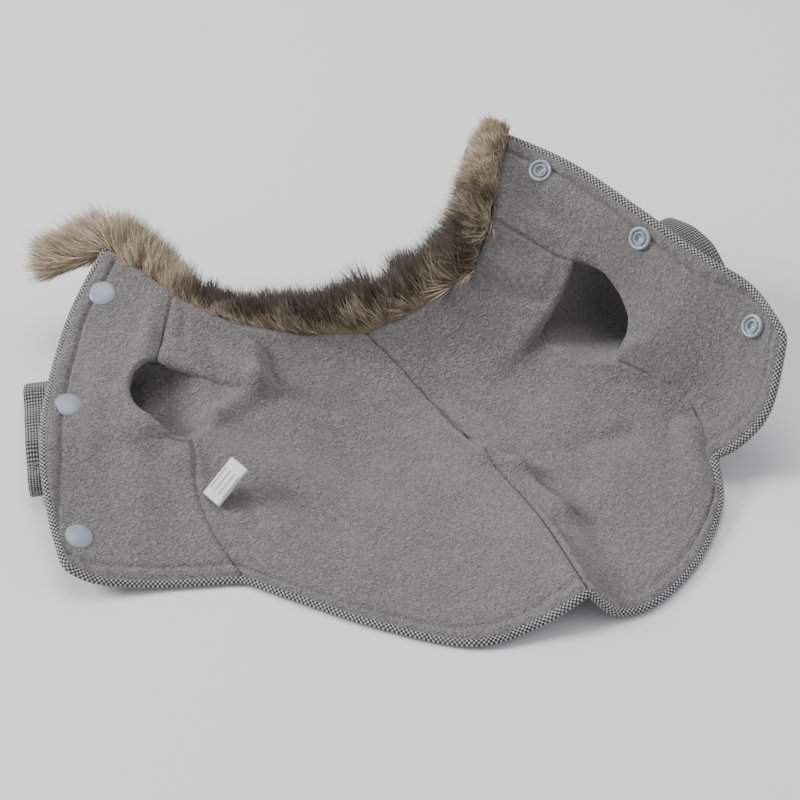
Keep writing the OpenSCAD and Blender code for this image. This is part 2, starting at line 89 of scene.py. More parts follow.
# ---- Outer cloth and lining panels: their shape ----
# Each half of the coat is a back panel and a front panel, joined at the side seam and the
# shoulder and open at the armhole between them. Both layers follow one middle surface.
CENTRE_SEAM = [[12, -146, 17], [20, -100, 12], [25, -56, 6], [22, -8, 4], [19, 21, 9], [10, 40, 22]]
LEFT = dict(
    seam=[[-103, -55, 2.4], [-105, -32, 8], [-102, -9, 14], [-92, 17, 20]],
    arm_front=[[-92, 17, 20], [-103, 25, 25], [-108, 42, 29], [-100, 57, 32], [-87, 62, 32]],
    arm_back=[[-92, 17, 20], [-80, 24, 18], [-72, 38, 20], [-75, 53, 25], [-87, 62, 32]],
    shoulder=[[-87, 62, 32], [-76, 75, 35], [-65, 87, 42]],
    hem_front=[[-103, -55, 2.4], [-134, -41, 3], [-159, -30, 8], [-170, -21, 14]],
    hem_back=[[-103, -55, 2.4], [-88, -77, 2.4], [-66, -107, 2.4], [-38, -135, 2.4],
              [-11, -143, 7], [12, -146, 17]],
    placket=[[-170, -21, 14], [-164, 6, 19], [-155, 33, 28], [-140, 61, 32],
             [-109, 103, 37], [-81, 124, 50]],
    neck_front=[[-65, 87, 42], [-72, 107, 46], [-81, 124, 50]],
    neck_back=[[-65, 87, 42], [-48, 68, 34], [-22, 52, 27], [10, 40, 22]],
    front_side=1)
RIGHT = dict(
    seam=[[109, -100, 12], [118, -69, 15], [109, -51, 20], [100, -36, 24]],
    arm_front=[[100, -36, 24], [112, -28, 34], [116, -14, 42], [112, -2, 50], [102, 7, 51]],
    arm_back=[[100, -36, 24], [88, -25, 20], [82, -6, 20], [87, 9, 32], [102, 7, 51]],
    shoulder=[[102, 7, 51], [90, 21, 58], [75, 36, 66]],
    hem_front=[[109, -100, 12], [117, -105, 18], [130, -108, 36], [147, -93, 60]],
    hem_back=[[109, -100, 12], [98, -121, 5], [70, -143, 2.4], [41, -154, 2.4],
              [23, -152, 4], [12, -146, 17]],
    placket=[[147, -93, 60], [149, -65, 66], [138, -40, 72], [128, -6, 78],
             [117, 35, 82], [102, 66, 84]],
    neck_front=[[75, 36, 66], [87, 51, 75], [102, 66, 84]],
    neck_back=[[75, 36, 66], [61, 29, 50], [39, 33, 33], [10, 40, 22]],
    front_side=-1)
# Broad folds: middle, half length, half width, direction in degrees, height
FOLDS = [
    [(31, -77), 48, 10, 105, 3], [(63, -65), 34, 14, 15, -5], [(93, -99), 36, 10, 55, 5],
    [(59, 1), 30, 12, 110, -6], [(-51, 39), 28, 7, 115, 4], [(-35, -27), 50, 30, 40, -4],
    [(-127, -1), 30, 9, 70, 4]]
# Creases and ridges: start, end, half width, height
CREASES = [
    [(26, -44), (33, -60), 3.2, 5.0], [(33, -60), (33, -92), 4.5, 4.5], [(31, -92), (29, -128), 6, 3.0],
    [(38, -54), (41, -88), 4.5, -5.0], [(42, -88), (44, -122), 7, -2.5],
    [(22, -56), (25, -84), 5, -2.0], [(24, 8), (31, -27), 5, -2.4], [(31, -30), (84, -66), 5, -2.2],
    [(38, -40), (78, -58), 5, 2.4], [(111, -84), (92, -116), 6, 4.0], [(104, -74), (88, -100), 5, -3.0],
    [(81, 32), (99, 12), 3.0, -2.6], [(88, 34), (104, 10), 3.5, 2.4], [(98, 38), (113, 2), 3.5, -2.6],
    [(106, 36), (118, 4), 4, 2.2], [(66, 21), (84, 4), 2.6, -2.6], [(70, 26), (86, 10), 3.2, 2.2],
    [(78, -20), (74, -44), 5, 2.0], [(106, -42), (120, -74), 4, 2.6], [(98, -46), (112, -76), 4, -2.4],
    [(-66, 88), (-86, 63), 2.8, -2.8], [(-60, 82), (-69, 70), 2.4, -2.4], [(-72, 90), (-91, 66), 3.2, 2.2],
    [(-54, 74), (-44, 50), 3.4, 3.2], [(-44, 50), (-50, 34), 3.4, 3.4], [(-50, 34), (-74, 26), 4, 3.2],
    [(-48, 78), (-37, 50), 3.4, -2.6], [(-37, 50), (-44, 28), 3.6, -2.6], [(-60, 66), (-62, 46), 5, -2.2],
    [(-112, 46), (-110, 26), 5, 3.4], [(-108, 24), (-102, 10), 5, 3.4],
    [(-90, 4), (-86, -34), 4, -2.0], [(-116, 60), (-134, 30), 6, 1.6],
    [(-84, -30), (-60, -76), 9, 1.6], [(-66, -10), (-30, -60), 10, 1.8], [(-20, 20), (-8, -40), 10, 1.6]]
SEAM_END, ARM_END = 7 / 18, 14 / 18        # shares of the side line: seam, armhole, shoulder
LINING_LOW, LINING_TOP = 0.15, 2.15        # levels above the middle surface
SHELL_LOW, SHELL_TOP = -1.75, -0.55
STIFFENING_LOW, STIFFENING_TOP = -0.45, 0.05
TOPSTITCH_IN = 7                           # from the piping's path to the topstitch
FAR_OFF = 1e3                              # distance to a side that a panel doesn't have


def curve_at(points, s):
    """Places on a smooth curve through the points, at shares s of it."""
    p = np.asarray(points, float)
    n = len(p) - 1
    s = np.clip(np.asarray(s, float), 0, 1) * n
    k = np.minimum(n - 1, np.floor(s).astype(int))
    f = (s - k)[..., None]
    a, b, c, d = p[np.maximum(0, k - 1)], p[k], p[k + 1], p[np.minimum(n, k + 2)]
    return (2 * b + (c - a) * f + (2 * a - 5 * b + 4 * c - d) * f**2
            + (3 * b - a - 3 * c + d) * f**3) / 2


def side_line(half, arm, u):
    seam = curve_at(half["seam"], u / SEAM_END)
    armhole = curve_at(half[arm], (u - SEAM_END) / (ARM_END - SEAM_END))
    shoulder = curve_at(half["shoulder"], (u - ARM_END) / (1 - ARM_END))
    u = u[..., None]
    return np.where(u < SEAM_END, seam, np.where(u < ARM_END, armhole, shoulder))


def bump_along(x, y, start, end, width, height):
    """A ridge or a hollow along a line, dying out past both ends."""
    a, b = np.array(start, float), np.array(end, float)
    way = (b - a) / np.linalg.norm(b - a)
    along = (x - a[0]) * way[0] + (y - a[1]) * way[1]
    across = (y - a[1]) * way[0] - (x - a[0]) * way[1]
    past = np.maximum(0, np.maximum(-along, along - np.linalg.norm(b - a)))
    return height * np.exp(-(across / width)**2 - (past / (1.5 * width))**2)


def fold_height(x, y):
    total = np.zeros_like(x)
    for (fx, fy), length, width, turn, height in FOLDS:
        c, s = math.cos(math.radians(turn)), math.sin(math.radians(turn))
        along = ((x - fx) * c + (y - fy) * s) / length
        across = ((y - fy) * c - (x - fx) * s) / width
        total += height * np.exp(-along * along - across * across)
    return total


def crease_height(x, y):
    """Smaller creases, and the faint unevenness of soft cloth that lies loose."""
    total = 0.35 * np.sin(x / 7 + 1.7 * np.sin(y / 15)) * np.sin(y / 9 + 1.3 * np.sin(x / 12))
    total = total + 0.22 * np.sin(x / 3.3 + 2 * np.sin(y / 8)) * np.sin(y / 4.1 + 2 * np.sin(x / 6))
    for crease in CREASES:
        total += bump_along(x, y, *crease)
    return total


def panel_at(half, front, u, v):
    """Middle surface of a panel: u from hem to neck, v from the side seam outwards."""
    side = lambda t: side_line(half, "arm_front" if front else "arm_back", t)
    outer = lambda t: curve_at(half["placket"] if front else CENTRE_SEAM, t)
    hem = curve_at(half["hem_front" if front else "hem_back"], v)
    neck = curve_at(half["neck_front" if front else "neck_back"], v)
    ends = np.array([0.0, 1.0])
    (s0, s1), (o0, o1) = side(ends), outer(ends)
    ends_calm = np.minimum(1, np.minimum(6 * u, 6 * (1 - u)))
    shares = ends_calm * np.minimum(1, np.minimum(5 * v, 5 * (1 - v)))
    creased = ends_calm * (np.minimum(1, 5 * (1 - v)) if front else 1)
    u3, v3 = u[..., None], v[..., None]
    p = (side(u) * (1 - v3) + outer(u) * v3 + hem * (1 - u3) + neck * u3
         - (s0 * (1 - v3) + o0 * v3) * (1 - u3) - (s1 * (1 - v3) + o1 * v3) * u3)
    folds = shares * fold_height(p[..., 0], p[..., 1]) + creased * crease_height(p[..., 0], p[..., 1])
    p[..., 2] = np.maximum(p[..., 2] + folds, -SHELL_LOW)
    return p


def edge_finder():
    """Quick distances to the piping's path round the whole coat."""
    t = np.linspace(0, 1, 300)
    names = ("hem_back", "hem_front", "placket")
    path = np.concatenate([curve_at(half[n], t) for half in (LEFT, RIGHT) for n in names])
    finder = kdtree.KDTree(len(path))
    for k, place in enumerate(path):
        finder.insert(place, k)
    finder.balance()
    return finder


EDGE = edge_finder()


def inset(half, front, u, v, far, edge_in):
    """Along each row of places, the share where the cloth is edge_in from the piping's path."""
    p = panel_at(half, front, u, v)
    d = np.array([[EDGE.find(q)[2] for q in row] for row in p])
    d = np.maximum.accumulate(d, axis=1)
    return np.array([np.interp(edge_in, row + 1e-6 * np.arange(len(row)), far) for row in d])


def cloth_panel(half, front, rows, columns, edge_in):
    """A grid of places, with the distances of each from the panel's four sides."""
    r = np.linspace(0, 1, rows + 1)
    v = np.linspace(0, 1, columns + 1)
    far = np.linspace(0, 0.08, 25)
    first = inset(half, front, far + 0 * v[:, None], v[:, None] + 0 * far, far, edge_in)
    u = np.where(r[:, None] < SEAM_END, first + (SEAM_END - first) * r[:, None] / SEAM_END,
                 r[:, None] + 0 * v)
    last = 0 * r
    if front:
        last = inset(half, front, r[:, None] + 0 * far, 1 - far + 0 * r[:, None], far, edge_in)
        last = np.where(r < 0.04, last[r >= 0.04][0], last)
    v = v * (1 - last[:, None])
    p = panel_at(half, front, u, v)
    across = np.cumsum(np.linalg.norm(np.diff(p, axis=1, prepend=p[:, :1]), axis=2), axis=1)
    up = np.cumsum(np.linalg.norm(np.diff(p, axis=0, prepend=p[:1]), axis=2), axis=0)
    return dict(p=p, seam=across, outer=across[:, -1:] - across, hem=up, neck=up[-1:] - up)


def joined_half(half, rows=144, front_columns=72, back_columns=96, edge_in=0.3):
    """Both panels of one half as one surface, with faces that look towards the lining."""
    back = cloth_panel(half, False, rows, back_columns, edge_in)
    front = cloth_panel(half, True, rows, front_columns, edge_in)
    n = back["p"][..., 0].size
    back_at = np.arange(n).reshape(back["p"].shape[:2])
    front_at = n + np.arange(front["p"][..., 0].size).reshape(front["p"].shape[:2])
    r = np.linspace(0, 1, rows + 1)
    sewn = (r < SEAM_END + 1e-6) | (r > ARM_END - 1e-6)
    front_at[sewn, 0] = back_at[sewn, 0]
    faces, uvs = [], []
    for panel, at, way in ((back, back_at, -half["front_side"]), (front, front_at, half["front_side"])):
        corners = [(0, 0), (1, 0), (1, 1), (0, 1)][::way]
        rolled = lambda a: np.stack([a[i:a.shape[0] - 1 + i, j:a.shape[1] - 1 + j]
                                     for i, j in corners], axis=2)
        faces.append(rolled(at).reshape(-1, 4))
        flat = np.stack([panel["seam"] * way, panel["hem"]], axis=2) * MM
        uvs.append(rolled(flat).reshape(-1, 4, 2))
    faces, uvs = np.concatenate(faces), np.concatenate(uvs)
    whole = {"p": np.concatenate([back["p"].reshape(-1, 3), front["p"].reshape(-1, 3)])}
    for name in ("seam", "hem", "neck"):
        whole[name] = np.concatenate([back[name].ravel(), front[name].ravel()])
    whole["centre"] = np.concatenate([back["outer"].ravel(), np.full(front["outer"].size, FAR_OFF)])
    whole["placket"] = np.concatenate([np.full(n, FAR_OFF), front["outer"].ravel()])
    used, renamed = np.unique(faces, return_inverse=True)
    whole = {name: values[used] for name, values in whole.items()}
    whole["faces"], whole["uv"] = renamed.reshape(-1, 4), uvs
    p = whole["p"]
    a, b, c, d = (p[whole["faces"][:, k]] for k in range(4))
    turned = np.cross(c - a, d - b)
    normals = np.zeros_like(p)
    for k in range(4):
        np.add.at(normals, whole["faces"][:, k], turned)
    whole["normal"] = normals / np.linalg.norm(normals, axis=1)[:, None]
    return whole


def solid(name, points, faces, uv=None):
    """A smooth mesh object from places in millimetres."""
    mesh = bpy.data.meshes.new(name)
    mesh.from_pydata((np.asarray(points) * MM).tolist(), [], [list(map(int, f)) for f in faces])
    if uv is not None:
        layer = mesh.uv_layers.new(name="cloth")
        layer.data.foreach_set("uv", np.asarray(uv, np.float32).ravel())
    mesh.shade_smooth()
    mesh.validate()
    piece = bpy.data.objects.new(name, mesh)
    bpy.context.scene.collection.objects.link(piece)
    return piece


def layer(name, half, low, top, picked=None):
    """A closed sheet of cloth between two levels over a half's middle surface."""
    faces, uv = half["faces"], half["uv"]
    if picked is not None:
        keep = picked[faces].all(axis=1)
        faces, uv = faces[keep], uv[keep]
    n = len(half["p"])
    levels = [np.broadcast_to(h, n)[:, None] for h in (top, low)]
    points = np.concatenate([half["p"] + half["normal"] * h for h in levels])
    corner_uv = np.zeros((n, 2))
    corner_uv[faces.ravel()] = uv.reshape(-1, 2)
    edges = {(a, b) for f in faces.tolist() for a, b in zip(f, f[1:] + f[:1])}
    rim = [(a, b) for a, b in edges if (b, a) not in edges]
    rim.sort()
    walls = np.array([(b, a, a + n, b + n) for a, b in rim])
    wall_uv = corner_uv[walls % n]
    everything = np.concatenate([faces, faces[:, ::-1] + n, walls])
    used, renamed = np.unique(everything, return_inverse=True)
    return solid(name, points[used], renamed.reshape(-1, 4),
                 np.concatenate([uv, uv[:, ::-1], wall_uv]))


def near(distance, at, width):
    """1 where a distance is at the given place, and fading to 0 about a width away."""
    return np.exp(-((distance - at) / width)**2)


def length_along(path):
    """The length of a path from its start up to each of its places."""
    return np.concatenate([[0], np.cumsum(np.linalg.norm(np.diff(path, axis=0), axis=1))])


HALVES = {"left": joined_half(LEFT), "right": joined_half(RIGHT)}
HINGES = {j["child"]: j for j in frame["joints"]}


def bends_with(piece, side):
    """Reads the hinge of the piece's front, and bakes the piece's place into its mesh."""
    hinge = HINGES["front_" + side]
    spot, axis = Vector(hinge["pos_m"]), Vector(hinge["axis"])
    out = axis.cross(Vector((0, 0, 1))).normalized()
    if (out.x > 0) == (side == "left"):
        out = -out
    "front_" + side
    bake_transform(piece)


# ---- Tweed, the finish of the outer cloth, piping and cuffs ----
# A woven wool mixture of black and white yarns in a bird's-eye pattern, a little hairy and matt.
# The pattern follows each piece's own flat cloth, so it turns with the cut.
class Wire:
    """A socket in a material; arithmetic on it adds Math nodes."""

    def __init__(self, tree, socket):
        self.tree, self.socket = tree, socket

    def node(self, kind, settings, inputs, output=0):
        made = self.tree.nodes.new(kind)
        for name, value in settings.items():
            if name == "stops":
                for k, (at, colour) in enumerate(value):
                    stop = made.color_ramp.elements[k] if k < 2 else made.color_ramp.elements.new(at)
                    stop.position, stop.color = at, (*colour, 1)
            else:
                setattr(made, name, value)
        for name, value in inputs.items():
            if isinstance(value, Wire):
                self.tree.links.new(value.socket, made.inputs[name])
            else:
                made.inputs[name].default_value = value
        return Wire(self.tree, made.outputs[output])

    def math(self, operation, *values):
        return self.node("ShaderNodeMath", {"operation": operation}, dict(enumerate(values)))

    def __add__(self, other):
        return self.math("ADD", self, other)

    def __sub__(self, other):
        return self.math("SUBTRACT", self, other)

    def __rsub__(self, other):
        return self.math("SUBTRACT", other, self)

    def __mul__(self, other):
        return self.math("MULTIPLY", self, other)

    __radd__, __rmul__ = __add__, __mul__

    def sine(self):
        return self.math("SINE", self)

    def between(self, low, high):
        """0 below low and 1 above high, and smooth in between."""
        return self.node("ShaderNodeMapRange", {"interpolation_type": "SMOOTHSTEP"},
                         {"Value": self, "From Min": low, "From Max": high})

    def part(self, axis):
        return self.node("ShaderNodeSeparateXYZ", {}, {0: self}, "XYZ".index(axis))

    def noise(self, size, detail=2.0, distortion=0.0):
        """Noise whose features are about size metres across, from 0 to 1."""
        return self.node("ShaderNodeTexNoise", {}, {
            "Vector": self, "Scale": 1 / size, "Detail": detail, "Distortion": distortion})

    def mixed(self, first, second):
        """One colour where this is 0, the other where it is 1."""
        colours = [c if isinstance(c, Wire) else (*c, 1) for c in (first, second)]
        return self.node("ShaderNodeMix", {"data_type": "RGBA"},
                         {0: self, 6: colours[0], 7: colours[1]}, 2)

    def raised(self, depth, strength=1.0):
        """A normal that follows this as a height, depth metres from low to high."""
        return self.node("ShaderNodeBump", {}, {"Height": self, "Distance": depth,
                                                 "Strength": strength})


def finish(name, build, **constants):
    """A material. build takes two wires, on object places and on the cloth's own flat
    places, and returns what changes over the surface, by the shader's socket names."""
    material = bpy.data.materials.new(name)
    material.use_nodes = True
    tree = material.node_tree
    shader = tree.nodes["Principled BSDF"]
    coordinates = tree.nodes.new("ShaderNodeTexCoord")
    flat = tree.nodes.new("ShaderNodeUVMap")
    flat.uv_map = "cloth"
    for socket, value in build(Wire(tree, coordinates.outputs["Object"]),
                               Wire(tree, flat.outputs["UV"])).items():
        tree.links.new(value.socket, shader.inputs[socket])
    for socket, value in constants.items():
        shader.inputs[socket.replace("_", " ")].default_value = value
    return material


def woven(pitch, dark, light, mixture, turn=0.0):
    """Bird's-eye weave: light dots in rows on dark, each row shifted by half a step."""
    def build(place, flat):
        c, s = math.cos(turn) / pitch * math.pi, math.sin(turn) / pitch * math.pi
        wobble = (flat.noise(0.006) - 0.5) * 0.5
        x = flat.part("X") * c + flat.part("Y") * s + wobble
        y = flat.part("Y") * c - flat.part("X") * s + wobble
        dots = (x + y).sine() * (x - y).sine()
        yarn = place.noise(0.0005, 2.0)
        shown = (dots + (yarn - 0.5) * 1.1).between(-0.1, 0.45)
        tone = place.noise(0.02).between(0.3, 0.7)
        return {"Base Color": shown.mixed(tone.mixed(dark, mixture), light),
                "Normal": (dots * 0.6 + yarn).raised(0.0004, 0.8)}
    return build


tweed = finish("tweed", woven(0.0013, (0.020, 0.020, 0.022), (0.38, 0.39, 0.38), (0.045, 0.045, 0.045)),
               Roughness=0.92, Sheen_Weight=0.25, Sheen_Roughness=0.5)
bias_tweed = finish("bias_tweed", woven(0.0014, (0.018, 0.018, 0.020), (0.50, 0.51, 0.50),
                                        (0.04, 0.04, 0.04), turn=math.pi / 4),
                    Roughness=0.9, Sheen_Weight=0.2, Sheen_Roughness=0.5)

# ---- Outer cloth ----
# The outside of the coat: two back and two front panels of tweed, joined by plain seams. Each
# half is one piece here.
for side, half in HALVES.items():
    seam_dip = 0.6 * near(half["seam"], 0, 0.8) + 0.6 * near(half["centre"], 0, 0.8)
    edge_dip = 0.7 * near(half["hem"], 0, 1.5) + 0.7 * near(half["placket"], 0, 1.5)
    topstitch = (0.3 * near(half["hem"], TOPSTITCH_IN, 0.7)
                 + 0.3 * near(half["placket"], TOPSTITCH_IN, 0.7))
    shell = layer("outer_cloth_" + side, half, SHELL_LOW + seam_dip + topstitch + edge_dip,
                  SHELL_TOP)
    shell.data.materials.append(tweed)
    bends_with(shell, side)
    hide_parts("shell_back_" + side, "shell_front_" + side)

# ---- Fleece lining ----
# Soft grey anti-pill fleece, about 2 mm thick, cut to the same panels and sewn to the outer
# cloth round its edge. A topstitch 7 mm inside the edge draws it down in a groove.


def fleece_look(place, flat):
    curls = place.noise(0.0018, 2.0, 1.4)
    grain = place.noise(0.0011, 2.0, 1.0)
    worn = place.noise(0.022, 3.0).between(0.35, 0.7)
    height = curls * 0.75 + grain * 0.45
    # pale follows the grain's height, so the fleece is painted darker in the hollows between its curls and paler
    # on their tops: painted shade and light over the bump
    pale = height.between(0.44, 0.76)
    colour = worn.mixed(pale.mixed((0.165, 0.155, 0.153), (0.265, 0.250, 0.249)),
                        pale.mixed((0.180, 0.169, 0.167), (0.285, 0.269, 0.267)))
    return {"Base Color": colour, "Normal": height.raised(0.0030, 1.0)}


fleece = finish("fleece", fleece_look, Roughness=0.95, Sheen_Weight=0.35, Sheen_Roughness=0.4)


def lining_top(half):
    """Height of the fleece over its panel, with seams, topstitching and puckers."""
    top = np.full(len(half["p"]), LINING_TOP)
    for name, wave in (("hem", half["seam"] + half["centre"] * 0.3), ("placket", half["hem"])):
        d = half[name]
        pucker = 0.35 * np.sin(2 * np.pi * wave / 8.5 + 1.5 * np.sin(wave / 13))
        top += -0.5 * near(d, 0, 0.9) + 0.5 * near(d, 3.6, 2.2) - 1.2 * near(d, TOPSTITCH_IN, 0.9)
        top += pucker * near(d, 4.5, 3.5)
    for name in ("seam", "centre"):
        d = half[name]
        pucker = 0.25 * np.sin(half["hem"] / 1.9 + 1.3 * np.sin(half["hem"] / 7))
        top += -1.3 * near(d, 0, 0.8) + (0.35 + pucker) * near(d, 2.6, 2.0)
    return top - 1.2 * near(half["neck"], 0, 1.4) + 0.3 * near(half["neck"], 3.5, 2.5)


for side, half in HALVES.items():
    lining = layer("fleece_lining_" + side, half, LINING_LOW, lining_top(half))
    lining.data.materials.append(fleece)
    bends_with(lining, side)
    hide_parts("lining_back_" + side, "lining_front_" + side)
    "outer_cloth_" + side

# ---- Placket stiffening ----
# A strip of white non-woven between the two layers along each front edge, which the snaps
# grip. It is sewn in with the piping and hidden all round.
stiffener = finish("stiffener", lambda place, flat: {
    "Base Color": place.noise(0.002, 3.0).mixed((0.62, 0.62, 0.60), (0.82, 0.82, 0.80)),
    "Normal": place.noise(0.0006).raised(0.0002)}, Roughness=0.85)
for side, half in HALVES.items():
    strip = layer("stiffening_" + side, half, STIFFENING_LOW, STIFFENING_TOP,
                  picked=(half["placket"] < 15) & (half["placket"] > 3) & (half["hem"] > 4)
                  & (half["neck"] > 9))
    strip.data.materials.append(stiffener)
    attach(strip, "front_" + side)
    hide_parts("placket_stiffening_" + side)
    "outer_cloth_" + side

# ---- Piping ----
# A bias strip of tweed round a cotton filler cord, 4 mm thick, sewn into the edge along the
# hem and up both front edges. It ends at the neck, under the collar.
PIPING_R, CORD_R = 2.0, 0.95


def tube(name, path, radius, sides, hole=None):
    """A round tube along a path in millimetres, with a second, inner wall if it has a hole."""
    path = np.asarray(path)
    along = np.gradient(path, axis=0)
    along /= np.linalg.norm(along, axis=1)[:, None]
    x = np.cross([0, 0, 1.0], along)
    x /= np.linalg.norm(x, axis=1)[:, None]
    z = np.cross(along, x)
    a = np.linspace(0, 2 * np.pi, sides, endpoint=False)
    ring = lambda r: (path[:, None] + r * (np.cos(a)[None, :, None] * x[:, None]
                                           + np.sin(a)[None, :, None] * z[:, None]))
    run = length_along(path) * MM
    return lofted(name, ring(radius), None if hole is None else ring(hole),
                  run, a * radius * MM)


def lofted(name, outer, inner, run, around):
    """A skin over rings that face outwards, closed at its ends or joined to an inner wall."""
    m, n = outer.shape[:2]
    i, k = np.meshgrid(np.arange(m - 1), np.arange(n), indexing="ij")
    a, b = i * n + k, i * n + (k + 1) % n
    faces = np.stack([a, b, b + n, a + n], axis=2).reshape(-1, 4)
    step = around[1] - around[0]
    uv = np.stack([np.stack([run[i + di], around[k] + dk * step], axis=2)
                   for di, dk in ((0, 0), (0, 1), (1, 1), (1, 0))], axis=2).reshape(-1, 4, 2)
    points = outer.reshape(-1, 3)
    if inner is None:
        caps = [list(range(n))[::-1], list(range((m - 1) * n, m * n))]
        cap_uv = np.zeros((2 * n, 2))
        return turned_out(solid(name, points, faces.tolist() + caps,
                                np.concatenate([uv.reshape(-1, 2), cap_uv])))
    t = m * n
    ends = np.array([q for k in range(n) for q in (
        (k, t + k, t + (k + 1) % n, (k + 1) % n),
        (t - n + (k + 1) % n, 2 * t - n + (k + 1) % n, 2 * t - n + k, t - n + k))])
    end_uv = np.zeros((len(ends), 4, 2))
    return turned_out(solid(name, np.concatenate([points, inner.reshape(-1, 3)]),
                            np.concatenate([faces, faces[:, ::-1] + t, ends]),
                            np.concatenate([uv, uv[:, ::-1], end_uv])))


def turned_out(piece):
    """The same closed piece with its faces outwards."""
    mesh = piece.data
    mesh.calc_loop_triangles()
    co = np.zeros(len(mesh.vertices) * 3, np.float32)
    mesh.vertices.foreach_get("co", co)
    co = co.reshape(-1, 3)
    tri = np.array([t.vertices for t in mesh.loop_triangles])
    a, b, c = co[tri[:, 0]], co[tri[:, 1]], co[tri[:, 2]]
    if (a * np.cross(b, c)).sum() < 0:
        mesh.flip_normals()
    return piece


def evenly(points, spacing):
    """The same path with places a fixed distance apart."""
    run = length_along(points)
    at = np.linspace(0, run[-1], max(2, round(run[-1] / spacing)))
    return np.stack([np.interp(at, run, points[:, k]) for k in range(3)], axis=1)


def rounded_corners(points, passes=6):
    points = points.copy()
    for _ in range(passes):
        points[1:-1] = (points[:-2] + 2 * points[1:-1] + points[2:]) / 4
    return points


cotton = finish("cotton_cord", lambda place, flat: {
    "Base Color": place.noise(0.001).mixed((0.55, 0.50, 0.40), (0.80, 0.76, 0.66)),
    "Normal": place.noise(0.0004).raised(0.0002)}, Roughness=0.9)
fine = np.linspace(0, 1, 200)
for side, shape in (("left", LEFT), ("right", RIGHT)):
    edge = np.concatenate([curve_at(shape["hem_back"], fine)[::-1],
                           curve_at(shape["hem_front"], fine)[1:],
                           curve_at(shape["placket"], fine)[1:]])
    edge = rounded_corners(evenly(edge, 1.5))
    for name, piece in (
            ("piping", tube("piping_" + side + "_edge", edge, PIPING_R, 16, hole=CORD_R + 0.15)),
            ("piping_cord", tube("filler_cord_" + side, edge, CORD_R, 8))):
        piece.data.materials.append(bias_tweed if name == "piping" else cotton)
        bends_with(piece, side)
        "tweed" if name == "piping" else "filler_cord"
        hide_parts(f"{name}_{side}",
                    "hem_piping_back" if name == "piping" else "piping_cord_back")
        if name == "piping":
            0.41 if side == "left" else 0.36

# ---- Sleeves ----
# Two short sleeves of tweed, lined with fleece, set into the armholes and lying out to the
# sides. The left one is pressed flat by the front over it; the right one stands open.
LEFT_ACROSS, RIGHT_ACROSS = [0.37, 0.93, 0], [-0.12, 0.99, 0]
# Sections: middle, direction of the width, half width, half height
SLEEVES = {
    "left": [[[-110, 49, 11.6], [0.25, 0.97, 0], 26, 9], [[-122, 55, 10.4], LEFT_ACROSS, 29, 9],
             [[-135, 60, 9.6], LEFT_ACROSS, 32, 8], [[-148, 65, 9.6], LEFT_ACROSS, 34, 8]],
    "right": [[[123, -6, 24], [0, 1, 0], 24, 17], [[137, -3, 24], RIGHT_ACROSS, 26, 21],
              [[149, -1, 24.6], RIGHT_ACROSS, 27, 23], [[165, 1, 24.6], RIGHT_ACROSS, 27, 23]]}
RING = 96                                  # places round a sleeve or a cuff
SLEEVE_CLOTH = 1.2                         # thickness of each layer
LINING_IN = 1.4                            # how far the lining lies inside the outer cloth
WRINKLE = 0.8


def section_ring(section, inset):
    middle, across, wide, high = section
    a = np.pi - 2 * np.pi * np.arange(RING) / RING
    across = np.array(across) / np.linalg.norm(across)
    return (np.array(middle) + (wide - inset) * np.cos(a)[:, None] * across
            + (high - inset) * np.sin(a)[:, None] * np.array([0, 0, 1]))


def armhole_ring(shape, inset, drop):
    s = np.arange(RING // 2) / (RING // 2)
    loop = np.concatenate([curve_at(shape["arm_front"], s), curve_at(shape["arm_back"], 1 - s)])
    way = loop - loop.mean(axis=0)
    loop[:, 2] += crease_height(loop[:, 0], loop[:, 1])
    return loop - inset * way / np.linalg.norm(way, axis=1)[:, None] - [0, 0, drop]


def sleeve_wrinkles(rings, share, amount):
    """Lengthwise wrinkles that start at the armhole and fade towards the cuff."""
    middle = rings.mean(axis=1, keepdims=True)
    a = 2 * np.pi * np.arange(RING) / RING
    wave = np.sin(5 * a + 0.8) + 0.6 * np.sin(9 * a + 2.1) - 0.4
    fade = np.sin(np.pi * np.clip(share, 0, 1))[:, None] * amount
    way = rings - middle
    return rings + (fade * wave)[..., None] * way / np.linalg.norm(way, axis=2)[..., None]


def sleeve_wall(shape, sections, inset, start_in, drop, rings=36):
    rows = np.stack([armhole_ring(shape, start_in + inset, drop)]
                    + [section_ring(s, inset) for s in sections])
    share = np.linspace(0, 1, rings)
    flat = curve_at(rows.reshape(len(rows), -1), share).reshape(rings, RING, 3)
    return sleeve_wrinkles(flat, share, WRINKLE), share


def sleeve_piece(name, shape, sections, inset, start_in, drop, material, cad, flat):
    """One layer of a sleeve, from start_in inside the armhole's edge and drop below it."""
    outer, share = sleeve_wall(shape, sections, inset, start_in, drop)
    inner, _ = sleeve_wall(shape, sections, inset + SLEEVE_CLOTH, start_in, drop)
    run = share * flat[1]
    piece = lofted(name, outer, inner, run, np.linspace(0, flat[0], RING, endpoint=False))
    piece.data.materials.append(material)
    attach(piece, "back")
    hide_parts(cad)


for side, shape, girth, reach in (("left", LEFT, 0.128, 0.062), ("right", RIGHT, 0.142, 0.066)):
    sleeve_piece("sleeve_" + side, shape, SLEEVES[side], 0.0, -3.6, 1.2, tweed,
                 "sleeve_shell_" + side, (girth, reach))
    sleeve_piece("sleeve_fleece_" + side, shape, SLEEVES[side], LINING_IN, -3.2, -1.1, fleece,
                 "sleeve_lining_" + side, (girth * 0.96, reach))

